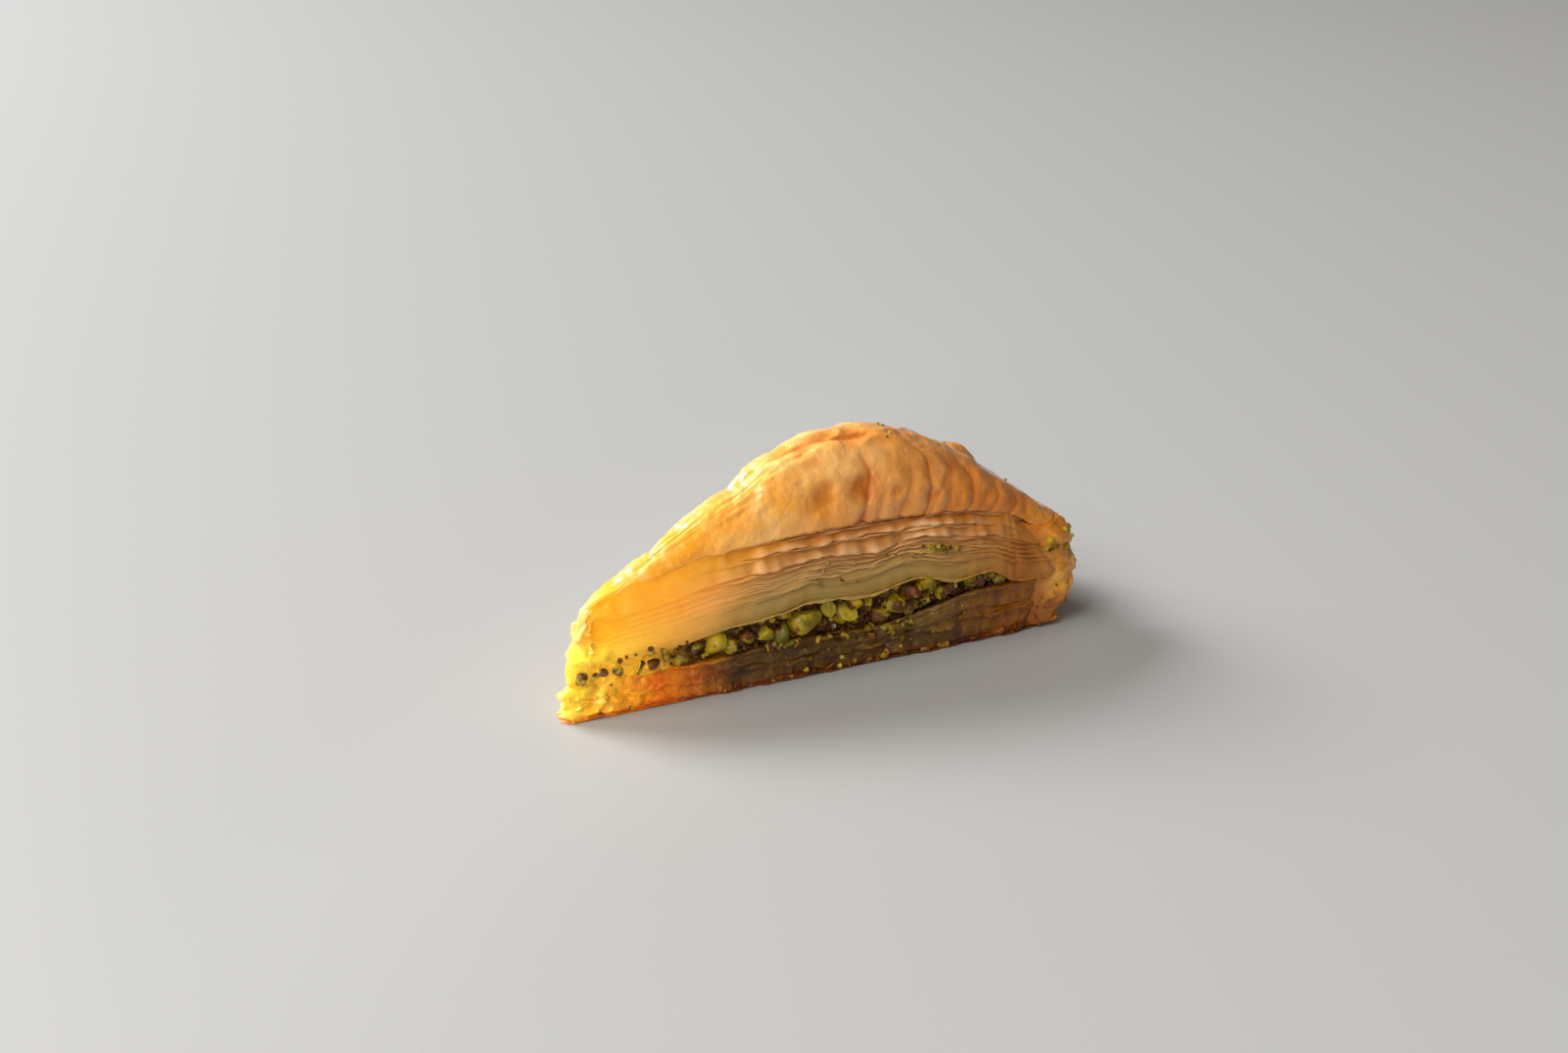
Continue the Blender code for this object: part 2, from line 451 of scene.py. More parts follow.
def lower_loose(along):
    """How free the lower sheets are of the syrup that fuses them at the tip."""
    return 0.3 + 0.7 * smoothstep(0.1, 0.3, along)


def far_tuck(along):
    """How far the walls draw in at the wide end, under the baked rim."""
    return 1.1 * MM * smoothstep(0.94, 1.0, along)


def lower_core_point(along, across, up):
    """The solid body of the lower stack: wet bundles at its walls, a flat underside."""
    level, bundle, share = LOWER_ROWS[round(up * (len(LOWER_ROWS) - 1))]
    across = to_faces(across)
    x, y = plan_point(along, across)
    z = (height(LOWER_STACK_TOP, along) - 0.1 * MM) * (level + lower_wave(x, y, level))
    seed = 60.0 + 9.0 * bundle
    sway = rough(x, y, 0.0, 9.0 * MM, seed)
    frill = rough(x, y, 0.0, 1.8 * MM, seed + 3.0)
    lump = rough(x, y, z, 3.5 * MM, 7.0) + 0.5 * rough(x, y, z * 1.6, 1.5 * MM, 8.0)
    free = lower_loose(along) * (1.0 - 0.7 * smoothstep(0.84, 0.95, along))
    out = hang(share) * (0.45 + 0.8 * sway + 0.25 * frill) * free
    proud = (out + 0.75 * lump + 0.5 * rough(x, y, z, 12.0 * MM, 71.0) - 0.3) * MM - far_tuck(along)
    proud += 0.9 * MM * lump * (1.0 - smoothstep(0.0, 0.12, along))
    tip = (2.4 - 9.6 * (level - 0.3) ** 2 + 1.2 * lump) * MM
    x, y = plan_point(along, across, proud, stack_end(z, proud), tip + proud)
    return (x, y, z), (along, level, clamp(0.75 - 0.65 * out - 0.35 * lump))


def lower_leaf_points(level, seed, proud, thickness):
    """A function that places one of the lower sheets that stand out of the stack."""
    def place(along, across, up):
        across = to_faces(across)
        x, y = plan_point(along, across)
        edge = edge_closeness(along, across, LOWER_EDGE_DEPTH)
        z = height(LOWER_STACK_TOP, along) * (level + lower_wave(x, y, level))
        ragged = 0.8 * rough(x, y, 0.0, 5.0 * MM, seed + 2.0) + 0.4 * rough(x, y, 0.0, 1.6 * MM, seed)
        z = max(LOWEST_SHEET, z + edge * ragged * MM)
        frill = 0.5 * rough(x, y, 0.0, 3.0 * MM, seed) + 0.7 * rough(x, y, 0.0, 9.0 * MM, seed + 5.0)
        frill += 0.25 * rough(x, y, 0.0, 0.9 * MM, seed + 9.0)
        out = proud + frill * MM * lower_loose(along) - far_tuck(along)
        out -= 0.7 * MM * level * (1.0 - smoothstep(0.1, 0.24, along))
        tip = (-0.9 - 2.0 * level) * MM + out
        x, y = plan_point(along, across, out, stack_end(z, out), tip)
        z += thickness * (up - 0.5) * (1.0 - 0.6 * edge)
        return (x, y, max(0.0, z)), (along, level, 0.3 - 0.3 * frill)
    return place


soaked_pastry = soaked_finish()
lower_form = box_form((320, 10, len(LOWER_ROWS) - 1), lower_core_point)
lower_core = add_piece("lower_stack", lower_form, soaked_pastry)
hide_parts("lower_pastry")

# Level in the stack, step out of the wall and thickness in mm.
LOWER_LEAVES = ((0.03, 0.55, 0.4), (0.12, 0.1, 0.35), (0.5, 0.1, 0.3), (0.97, 0.3, 0.5))
for number, (level, proud, thickness) in enumerate(LOWER_LEAVES, start=1):
    place = lower_leaf_points(level, 20.0 + 3.7 * number, proud * MM, thickness * MM)
    leaf = add_piece(f"lower_sheet_{number}", box_form((330, 8, 1), place), soaked_pastry)

# ---------------------------------------------------------------------------
# Filling: pistachios chopped from whole kernels to grit, packed between the
# stacks. A bed of skins and syrup holds them, coloured near black as painted
# shade in the gaps between the nuts, and the cut kernels show
# green-yellow flesh between their brown-purple skins.
# ---------------------------------------------------------------------------
def sunk_in(along):
    """0 at the tip, where syrup fills the cut flush, and 1 where the nuts lie back in it."""
    return smoothstep(0.14, 0.27, along)


def nut_bed_point(along, across, up):
    """The bed: dark and rough, drawn back behind the nuts that show."""
    along *= NUTS_END
    across = to_faces(across)
    x, y = plan_point(along, across)
    low, high = height(LOWER_STACK_TOP, along) - 0.4 * MM, height(LIP, along) + 0.5 * MM
    z = low + (high - low) * up
    dent = rough(x, y, z, 2.4 * MM, 31.0) + 0.5 * rough(x, y, z, 0.9 * MM, 37.0)
    sunk = 0.1 + 1.85 * sunk_in(along)
    proud = -sunk * MM + dent * 0.45 * sunk * MM
    x, y = plan_point(along, across, proud, 0.0, (0.7 * dent - 0.6) * MM)
    return (x, y, z), (along, up, 0.5 + 0.5 * dent)


def bed_finish():
    """Skins and syrup, darkened almost to black as painted shade in the gaps, and amber as a painted
    glow where light comes through at the tip.
    """
    finish = Finish("nut_bed", 0.5, coat=0.25)
    clumps = finish.group(PATCHES, Scale=420.0, Contrast=4.0)
    tip = finish.mask(finish.along, (0.0, 1.0), (0.14, 0.9), (0.26, 0.0))
    # Painted shade: the skins and syrup are darkened almost to black, as the gaps between the nuts look.
    body = finish.mix(clumps, srgb(30, 12, 4), srgb(92, 52, 18))
    painted_glow_gold = finish.mix(clumps, srgb(250, 170, 14), srgb(255, 214, 60))
    finish.colour(finish.mix(tip, body, painted_glow_gold))
    finish.bump(clumps, 0.5 * MM)
    return finish.material


nut_bed = add_piece("nut_bed", box_form((200, 10, 14), nut_bed_point), bed_finish())
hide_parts("nut_filling")

# Whole and halved kernels in the front cut face: share of the length, height in
# the gap, radius in mm, and how much brown skin still clings to them.
SHOWN_KERNELS = (
    (0.014, 0.28, 1.9, 1.0), (0.04, 0.2, 1.3, 0.55), (0.055, 0.42, 1.2, 0.95), (0.083, 0.4, 1.4, 0.9),
    (0.13, 0.3, 1.9, 1.0), (0.153, 0.36, 1.7, 0.8), (0.185, 0.6, 1.2, 0.9), (0.215, 0.3, 1.9, 0.35),
    (0.243, 0.62, 1.4, 0.9), (0.288, 0.52, 2.9, 0.1), (0.315, 0.32, 2.2, 0.15), (0.352, 0.5, 1.8, 1.0),
    (0.392, 0.42, 1.9, 0.3), (0.424, 0.22, 2.4, 0.1), (0.48, 0.46, 3.7, 0.2), (0.525, 0.7, 2.2, 1.0),
    (0.56, 0.5, 2.9, 0.3), (0.585, 0.82, 2.3, 0.5), (0.615, 0.72, 2.2, 0.1), (0.638, 0.3, 2.3, 0.75),
    (0.676, 0.42, 2.7, 0.0), (0.704, 0.15, 1.6, 0.1), (0.712, 0.62, 2.7, 0.4), (0.742, 0.86, 2.7, 0.15),
    (0.775, 0.4, 1.9, 1.0), (0.8, 0.7, 1.5, 0.8), (0.842, 0.6, 1.9, 0.1), (0.866, 0.55, 1.9, 0.2),
    (0.889, 0.7, 1.1, 0.9), (0.907, 0.55, 1.7, 0.15),
)

# For each size of chopped nut: least and largest radius in mm, how many on each
# cut face, and the icosphere's subdivisions.
NUT_SIZES = ((2.4, 3.4, 7, 3), (1.6, 2.3, 16, 2), (1.0, 1.5, 20, 2), (0.5, 0.9, 30, 1))
KERNEL_SHAPE = (1.0, 0.8, 0.72)
KERNEL_SWELL = 1.12
NUT_OVERLAP = 0.8
NUT_TRIES = 30
SHOWN_SWELL = 1.08

# A nut's largest radius, as a share of the gap's height.
LARGEST_SHARE = 0.62

# How much of each knife cut points along Y: the kernels are cut from the sides
# more than from the front.
KNIFE_TO_FRONT = 0.45
CUT_DEPTH = (0.35, 0.7)
CUT_ANGLE = radians(35.0)


def nut_spot(along, side, up, depth):
    """A point in the filling, depth inside one of the cut faces."""
    x, y = plan_point(along, side, -depth)
    low, high = height(LOWER_STACK_TOP, along), height(LIP, along)
    return Vector((x, y, low + (high - low) * up))


def shown_places():
    """(spot, radius, subdivisions, skin) of the kernels that show in the front cut face."""
    made = []
    for along, up, radius, skin in SHOWN_KERNELS:
        depth = (0.5 * radius + 0.2 * sunk_in(along)) * MM
        made.append((nut_spot(along, 0, up, depth), SHOWN_SWELL * radius * MM, 3, skin))
    return made


def is_clear(spot, radius, placed):
    """Whether a nut here stays clear of the ones placed, but for a little overlap."""
    return all((spot - other[0]).length > NUT_OVERLAP * (radius + other[1]) for other in placed)


def nut_places(draw, sizes, placed):
    """Adds nuts packed along both cut faces to placed, in sizes' order, and returns them."""
    made = []
    for least, most, count, detail in sizes:
        for number in range(2 * count):
            for _ in range(NUT_TRIES):
                radius = draw.uniform(least, most) * MM
                along = draw.uniform(NUTS_START, NUTS_END - 0.01)
                room = height(LIP, along) - height(LOWER_STACK_TOP, along)
                fit = min(0.5, 0.8 * radius / room)
                depth = 0.75 * radius + draw.uniform(0.3, 1.5) * MM
                half = 0.5 * WEDGE_ANGLE * radius_at(along)
                if radius > LARGEST_SHARE * room or depth > half:
                    continue
                spot = nut_spot(along, number % 2, draw.uniform(fit, 1.0 - fit), depth)
                if is_clear(spot, radius, placed):
                    made.append((spot, radius, detail, draw.random()))
                    placed.append(made[-1])
                    break
    return made


def once_each(items):
    """The items without repeats, in their first order, so that every run cuts alike."""
    return list(dict.fromkeys(items))


def faces_round(verts):
    """The faces that meet at those of the verts that a cut has left."""
    return once_each(face for vert in verts if vert.is_valid for face in vert.link_faces)


def add_kernel(form, spot, radius, detail, draw, cuts, shape):
    """A pistachio kernel, lumpy and long, chopped flat by knife cuts on some sides."""
    turn = Matrix.Rotation(draw.uniform(0, pi), 4, Vector([draw.gauss(0, 1) for _ in range(3)]))
    stretch = Matrix.Diagonal((*[share * radius * KERNEL_SWELL for share in shape], 1.0))
    place = Matrix.Translation(spot) @ turn @ stretch
    made = bmesh.ops.create_icosphere(form, subdivisions=detail, radius=1.0, matrix=place)
    verts = made["verts"]
    for vert in verts:
        lump = noise.noise(vert.co / (radius * 0.9) + Vector((radius, 0, 0)))
        vert.co += (vert.co - spot) * 0.28 * lump
    for _ in range(cuts):
        faces = faces_round(verts)
        edges = once_each(edge for face in faces for edge in face.edges)
        points = once_each(vert for face in faces for vert in face.verts)
        knife = Vector([draw.gauss(0, 1) for _ in range(3)])
        knife.y *= KNIFE_TO_FRONT
        knife.normalize()
        reach = spot + knife * radius * draw.uniform(*CUT_DEPTH)
        cut = bmesh.ops.bisect_plane(
            form, geom=[*points, *edges, *faces], dist=1e-7,
            plane_co=reach, plane_no=knife, clear_outer=True,
        )
        rim = [item for item in cut["geom_cut"] if isinstance(item, bmesh.types.BMEdge)]
        for face in bmesh.ops.holes_fill(form, edges=rim, sides=0)["faces"]:
            face.material_index = 1
        verts = [v for v in points if v.is_valid] + [v for e in rim if e.is_valid for v in e.verts]
    return faces_round(verts)


def nut_form(places, draw, cuts_of, shape=KERNEL_SHAPE):
    """All of the bits of one kind, joined.

    Their tint values are the share of the length, a shade, and the skin left on.
    """
    form = bmesh.new()
    tint = form.verts.layers.float_color.new("place")
    length = cad_high.x - cad_low.x
    for spot, radius, detail, skin in places:
        shade = draw.random()
        for face in add_kernel(form, spot, radius, detail, draw, cuts_of(draw), shape):
            for vert in face.verts:
                vert[tint] = ((spot.x - cad_low.x) / length, shade, skin, 1.0)
    bmesh.ops.recalc_face_normals(form, faces=form.faces)
    return form


NUT_GLOW_DEPTH = 0.6 * MM


def skin_finish(name):
    """The kernel's outer side: green-yellow where bare, brown-purple where skin clings."""
    finish = Finish(name, 0.42, coat=0.25, subsurface=0.1, scale=NUT_GLOW_DEPTH)
    fresh = finish.ramp(finish.level, [
        (0.0, srgb(166, 140, 4)), (0.5, srgb(192, 164, 14)), (1.0, srgb(146, 130, 4)),
    ])
    green = finish.group(PATCHES, Scale=240.0, Contrast=4.0)
    fresh = finish.mix(finish.maths("MULTIPLY", green, 0.85), fresh, srgb(84, 80, 2))
    grain = finish.group(PATCHES, Scale=900.0, Contrast=3.0)
    skinned = finish.mix(grain, srgb(46, 20, 2), srgb(116, 66, 12))
    shreds = finish.group(PATCHES, Scale=330.0, Contrast=6.0)
    cling = finish.maths("ADD", shreds, finish.maths("MULTIPLY", finish.hollow, 0.75))
    finish.colour(finish.mix(finish.mask(cling, (0.75, 0.0), (1.0, 1.0)), fresh, skinned))
    finish.bump(grain, 0.2 * MM, 0.8)
    return finish.material


def flesh_finish(name):
    """A chopped face: bright green-yellow, finely grained and damp."""
    finish = Finish(name, 0.45, coat=0.2, subsurface=0.1, scale=NUT_GLOW_DEPTH)
    fresh = finish.ramp(finish.level, [
        (0.0, srgb(195, 172, 35)), (0.5, srgb(211, 188, 63)), (1.0, srgb(176, 160, 26)),
    ])
    grain = finish.group(PATCHES, Scale=700.0, Contrast=3.0)
    finish.colour(finish.mix(finish.maths("MULTIPLY", grain, 0.6), fresh, srgb(120, 108, 8)))
    finish.bump(grain, 0.25 * MM, 0.8)
    return finish.material


def flat_cuts(piece):
    """Rounded skins stay smooth, and knife cuts keep their hard edges."""
    piece.data.set_sharp_from_angle(angle=CUT_ANGLE)


NUT_SEED = 41
nut_draw = Random(NUT_SEED)
all_nuts = shown_places()
kernel_list = [*all_nuts, *nut_places(nut_draw, NUT_SIZES, all_nuts)]
kernel_form = nut_form(kernel_list, nut_draw, lambda draw: draw.choice((0, 1, 1, 2)))
kernels = add_piece("chopped_kernels", kernel_form, skin_finish("pistachio_skin"))
kernels.data.materials.append(flesh_finish("pistachio_flesh"))
flat_cuts(kernels)

# Broken skins and dark grit fill the gaps between the kernels.
GRIT_SIZES = ((0.9, 1.5, 30, 2), (0.5, 0.9, 70, 1), (0.3, 0.5, 120, 1))


def grit_finish():
    """Broken skins in purple, red and olive browns."""
    finish = Finish("pistachio_skins", 0.45, coat=0.35)
    tones = finish.ramp(finish.level, [
        (0.0, srgb(54, 27, 5)), (0.4, srgb(104, 63, 19)),
        (0.7, srgb(136, 104, 20)), (1.0, srgb(85, 42, 19)),
    ])
    # Orange towards the tip: painted glow of light coming through there.
    tip = finish.mask(finish.along, (0.0, 0.5), (0.2, 0.0))
    body = finish.mix(finish.group(PATCHES, Scale=700.0, Contrast=3.0), tones, srgb(48, 22, 10))
    finish.colour(finish.mix(tip, body, srgb(190, 106, 24)))
    finish.bump(finish.group(PATCHES, Scale=1300.0, Contrast=2.0), 0.15 * MM)
    return finish.material


grit_list = nut_places(nut_draw, GRIT_SIZES, all_nuts)
grit_form = nut_form(grit_list, nut_draw, lambda draw: draw.choice((2, 3)))
grit = add_piece("skins_and_grit", grit_form, grit_finish())
flat_cuts(grit)

# ---------------------------------------------------------------------------
# Upper stack: the sheets over the nuts, glued by syrup. The lowest are soft,
# pale and wet and hang over the filling as a lip; the ones above are drier,
# tan and wavy, and the last few under the crust are baked brown, darkened
# further by painted shade under the crust's edge.
# ---------------------------------------------------------------------------
# Height in mm of the cut walls at shares of the length.
WALL_TOP = (
    (0.0, 21.0), (0.07, 26.6), (0.14, 29.2), (0.33, 32.6), (0.5, 33.2),
    (0.7, 33.3), (0.81, 32.2), (0.92, 29.6), (1.0, 25.0),
)

# How far the wall stands out in mm at shares of its height: it leans inwards.
WALL_LEAN = (
    (0.0, 0.7), (0.12, 1.2), (0.26, 0.9), (0.45, 0.2),
    (0.6, -0.3), (0.8, -1.0), (0.93, -1.6), (1.0, -1.9),
)
PUCKER_LENGTH = 3.4 * MM
PUCKER_DEPTH = 0.12 * MM
UPPER_EDGE_DEPTH = 2.6 * MM

# Where the stack parts into bundles of sheets, as shares of its height, and how
# far each bundle's lower edge steps out, in mm.
UPPER_BUNDLES = (0.0, 0.25, 0.38, 0.46, 0.53, 0.6, 0.79, 0.94, 1.0)
UPPER_STEPS = (0.3, 0.4, 0.35, 0.35, 0.4, 1.5, 1.3, 0.5)
UPPER_ROWS = bundle_rows(UPPER_BUNDLES)


def loose(along):
    """How free the sheets are: wavy and open in the middle, fused by syrup at both ends."""
    opened = 0.04 + 0.96 * smoothstep(0.2, 0.5, along) + 0.2 * smoothstep(0.6, 0.8, along)
    return opened * (1.0 - 0.75 * smoothstep(0.84, 0.95, along))


def upper_z(along, x, y, level):
    """The height of a sheet's line, which wanders up and down along the walls."""
    wander = 0.075 * rough(x, y, 0.0, 12.0 * MM, 2.4 * level)
    wander += 0.04 * rough(x, y, 0.0, 4.5 * MM, 4.5 * level)
    low, high = height(LIP, along), height(WALL_TOP, along) + 0.6 * MM
    return low + (high - low) * (level + wander * loose(along) * sin(pi * level))


def pucker(along, x, y):
    """Pleats pressed into the sheets where they are squeezed shut near the wide end."""
    squeezed = smoothstep(0.8, 0.95, along)
    phase = 2.0 * pi * along * LENGTH / PUCKER_LENGTH
    return PUCKER_DEPTH * squeezed * sin(phase + 5.0 * rough(x, y, 0.0, 5.0 * MM))


def wall_lumps(along, level, free, x, y, z):
    """Lumps in the walls: broad ones all along, and small ones where the ends are fused."""
    broad = 0.45 * rough(x, y, z, 9.0 * MM, 17.0)
    wide_end = 0.7 * rough(x + 0.5 * z, y, z * 0.5, 3.0 * MM, 18.0) * smoothstep(0.84, 0.92, along)
    fused = 0.6 * (1.0 - free) * smoothstep(0.5, 1.0, level)
    tip = 1.1 * rough(x, y, z, 3.2 * MM, 19.0) * (1.0 - smoothstep(0.0, 0.14, along))
    return (broad + wide_end + fused + tip) * MM


def upper_core_point(along, across, up):
    """The body of the upper stack: bundles of sheets that hang like short curtains."""
    level, bundle, share = UPPER_ROWS[round(up * (len(UPPER_ROWS) - 1))]
    across = to_faces(across)
    x, y = plan_point(along, across)
    free, seed = min(1.0, loose(along)), 10.0 + 7.3 * bundle
    z = upper_z(along, x, y, level)
    ragged = 0.6 * rough(x, y, 0.0, 5.0 * MM, seed) + 0.4 * rough(x, y, 0.0, 1.4 * MM, seed + 2.0)
    z += (1.0 - share) ** 2 * free * ragged * MM
    sway = rough(x, y, 0.0, 7.0 * MM, seed + 4.0)
    dimple = rough(x, y, z * 0.25, 2.8 * MM, seed + 6.0)
    curtain = smoothstep(0.52, 0.64, level) * (1.0 - smoothstep(0.9, 0.97, level))
    out = UPPER_STEPS[bundle] * hang(share) * max(0.0, 0.8 + 1.3 * sway)
    draped = out - 0.6 + (0.35 + 0.5 * curtain) * dimple
    proud = height(WALL_LEAN, level) + draped * MM * free - far_tuck(along)
    proud += pucker(along, x, y) + wall_lumps(along, level, free, x, y, z)
    tip = (-2.4 - 0.4 * level + 1.2 * rough(x, y, z, 3.0 * MM, 19.0)) * MM + proud
    x, y = plan_point(along, across, proud, stack_end(z, proud), tip)
    hollow = (1.0 - hang(share)) * free - 0.6 * dimple * curtain
    return (x, y, z), (along, level, clamp(hollow))


def upper_leaf_points(level, seed, step, thickness, frill_size):
    """A function that places one of the thin single sheets that stand out of the walls."""
    def place(along, across, up):
        across = to_faces(across)
        x, y = plan_point(along, across)
        edge = edge_closeness(along, across, UPPER_EDGE_DEPTH)
        free = min(1.0, loose(along))
        z = upper_z(along, x, y, level)
        z += edge * free * (0.6 * rough(x, y, 0.0, 5.0 * MM, seed) - 0.2) * MM
        z = max(z, height(LOWER_STACK_TOP, along) + 0.5 * MM)
        frill = 0.5 * rough(x, y, 0.0, 6.0 * MM, seed + 3.0)
        frill += frill_size * rough(x, y, 0.0, 1.3 * MM, seed + 5.0)
        proud = height(WALL_LEAN, level) + (step + frill) * MM * free
        proud += pucker(along, x, y) - far_tuck(along)
        tip = (-2.8 - 0.4 * level) * MM + proud
        x, y = plan_point(along, across, proud, stack_end(z, proud), tip)
        z += thickness * (up - 0.5) * (1.0 - 0.6 * edge)
        return (x, y, z), (along, level, 0.2 - 0.3 * frill)
    return place


FUSED_DARK = srgb(164, 94, 20)
FUSED_PALE = srgb(192, 128, 52)


def sheet_finish():
    """Pale wet sheets at the lip, tan ones above, golden at the tip.

    Under the crust they are brown, partly baked and partly painted shade. The tip's gold is brightened
    as a painted glow, the edges of the bundles carry a painted highlight, and the gaps between them
    painted shade.
    """
    finish = Finish("layered_pastry", 0.36, coat=0.2, subsurface=0.2, scale=SHEET_GLOW_DEPTH)
    lined = finish.mask(finish.level, (0.0, 0.4), (0.4, 0.9), (0.6, 0.3))
    streaks = finish.maths("MULTIPLY", finish.group(STREAKS, Contrast=2.2), lined)
    patches = finish.group(PATCHES, Scale=120.0, Contrast=3.0)
    # The top stops are brown: partly baked colour, partly painted shade under the crust's overhanging
    # edge.
    deep = finish.ramp(finish.level, [
        (0.0, srgb(165, 141, 73)), (0.25, srgb(160, 134, 68)), (0.45, srgb(164, 127, 64)),
        (0.62, srgb(191, 132, 70)), (0.8, srgb(193, 129, 61)), (0.91, srgb(164, 88, 18)),
        (0.95, srgb(122, 54, 2)),
    ])
    pale = finish.ramp(finish.level, [
        (0.0, srgb(177, 155, 90)), (0.25, srgb(181, 157, 97)), (0.45, srgb(193, 157, 97)),
        (0.62, srgb(209, 160, 103)), (0.8, srgb(209, 153, 89)), (0.91, srgb(190, 118, 44)),
        (0.95, srgb(148, 72, 8)),
    ])
    body = finish.mix(streaks, deep, pale)
    # Painted highlight: paler on the edges of the bundles that stand out.
    painted_crest_highlight = finish.mask(finish.hollow, (0.0, 0.8), (0.4, 0.0))
    painted_crest_highlight = finish.maths("MULTIPLY", painted_crest_highlight, finish.mask(finish.level, (0.24, 0.0), (0.4, 1.0)))
    body = finish.mix(painted_crest_highlight, body, srgb(236, 194, 146))
    # Painted shade: the gaps between the bundles are darkened.
    drier = finish.mask(finish.level, (0.4, 0.0), (0.6, 1.0))
    gap = finish.mix(drier, srgb(120, 92, 44), srgb(168, 92, 26))
    hollow = finish.mask(finish.hollow, (0.6, 0.0), (1.0, 0.5))
    body = finish.mix(hollow, body, gap)
    body = finish.mix(finish.maths("MULTIPLY", patches, 0.3), body, srgb(196, 136, 68))
    # Golden at the tip, brightened as a painted glow of light coming through the thin sheets.
    reach = finish.maths("SUBTRACT", finish.along, finish.maths("MULTIPLY", finish.level, 0.16))
    tip = finish.mask(reach, (0.0, 1.0), (0.14, 0.85), (0.34, 0.0))
    nose = finish.mask(finish.along, (0.06, 1.0), (0.2, 0.0))
    low = finish.mix(nose, srgb(240, 158, 52), srgb(255, 208, 44))
    painted_glow_gold = finish.mix(finish.mask(finish.level, (0.2, 0.0), (0.6, 1.0)), low, srgb(255, 166, 8))
    painted_glow_gold = finish.mix(finish.maths("MULTIPLY", patches, 0.4), painted_glow_gold, srgb(255, 214, 90))
    body = finish.mix(tip, body, painted_glow_gold)
    far = finish.mask(finish.along, (0.76, 0.0), (0.93, 0.9))
    finish.colour(finish.mix(far, body, finish.mix(patches, FUSED_DARK, FUSED_PALE)))
    finish.bump(streaks, 0.14 * MM, 0.55)
    return finish.material


layered_pastry = sheet_finish()
upper_form = box_form((330, 10, len(UPPER_ROWS) - 1), upper_core_point)
upper_core = add_piece("upper_stack", upper_form, layered_pastry)

# Level in the stack, then step out of the wall, thickness and frill in mm.
UPPER_LEAVES = (
    (0.02, 0.3, 0.6, 0.4), (0.3, 0.0, 0.35, 0.16), (0.37, -0.1, 0.3, 0.16), (0.44, 0.0, 0.3, 0.16),
    (0.51, 0.0, 0.3, 0.18), (0.58, 0.3, 0.35, 0.16), (0.68, -0.2, 0.3, 0.16), (0.78, 0.4, 0.35, 0.16),
    (0.93, 0.1, 0.3, 0.16),
)
for number, (level, step, thickness, frill) in enumerate(UPPER_LEAVES, start=1):
    place = upper_leaf_points(level, 50.0 + 4.3 * number, step, thickness * MM, frill)
    leaf = add_piece(f"upper_sheet_{number}", box_form((330, 8, 1), place), layered_pastry)

# ---------------------------------------------------------------------------
# Crust: the top sheets, puffed up in the oven and glazed with syrup. They are
# pillowed along the ridge, draped in pleats to a crisp cut edge at both faces,
# wrinkled on top, and curled up at the far corner.
# ---------------------------------------------------------------------------
# Height in mm of the ridge at shares of the length.
RIDGE = (
    (0.0, 22.0), (0.1, 28.4), (0.28, 40.0), (0.45, 48.8),
    (0.57, 51.2), (0.69, 49.8), (0.83, 42.0), (0.93, 33.6), (1.0, 26.6),
)
DOME_POWER = 2.3
CRUST_PROUD = -1.2 * MM
CRUST_THICKNESS = 1.0 * MM
CRUST_RISE = 17.0 * MM
SLOPE_STEP = 0.004
FAR_CORNER_PUFF = 7.0 * MM
TIP_DROP = 3.5 * MM

# Creases: share of the length at the cut edge, lean towards the wide end as it
# climbs, depth in mm, and how far across the crust it reaches.
FRONT_PLEATS = (
    (0.603, -0.06, 0.85, 0.3), (0.64, -0.04, 0.25, 0.14), (0.681, 0.02, 0.4, 0.2),
    (0.737, -0.1, 0.85, 0.36), (0.752, 0.1, 0.4, 0.13), (0.785, -0.06, 0.45, 0.2),
    (0.83, -0.14, 0.8, 0.4), (0.862, 0.0, 0.4, 0.16), (0.885, -0.12, 0.6, 0.28),
    (0.905, 0.0, 0.3, 0.14), (0.925, -0.14, 0.6, 0.38), (0.955, -0.1, 0.5, 0.3),
)
BACK_PLEATS = (
    (0.32, -0.03, 0.3, 0.2), (0.42, -0.1, 0.5, 0.34), (0.46, 0.04, 0.35, 0.15),
    (0.53, -0.07, 0.4, 0.24), (0.61, -0.12, 0.55, 0.36), (0.64, 0.03, 0.35, 0.15),
    (0.69, -0.05, 0.4, 0.22), (0.74, -0.12, 0.55, 0.34), (0.79, 0.03, 0.35, 0.15),
    (0.83, -0.1, 0.5, 0.3), (0.87, -0.02, 0.3, 0.15), (0.91, -0.12, 0.5, 0.3),
)
PLEAT_WIDTH = 0.7 * MM
PLEAT_HOLLOW_WIDTH = 1.8 * MM
PLEAT_WANDER = 2.2 * MM
PLEAT_REACH = 8.0 * MM

# Thin dark spots where the crust sank onto the sheets below: share of the
# length, share across, width and depth in mm.
SUNK_SPOTS = (
    (0.5, 0.05, 3.4, 0.6), (0.576, 0.04, 3.0, 0.6), (0.66, 0.03, 1.8, 0.5),
    (0.735, 0.02, 1.8, 0.5), (0.36, 0.2, 3.0, 0.4), (0.78, 0.16, 2.4, 0.4),
    (0.52, 0.9, 3.0, 0.7), (0.72, 0.93, 2.4, 0.7), (0.61, 0.5, 2.2, 0.5),
)

# Notches over the ridge between the pillows: share of the length, depth in mm.
RIDGE_NOTCHES = ((0.175, 0.6), (0.345, 0.8))


def dome(across):
    """The crust's round back from one cut face to the other, from 0 to 1."""
    return sqrt(max(0.0, 1.0 - abs(2.0 * across - 1.0) ** DOME_POWER))


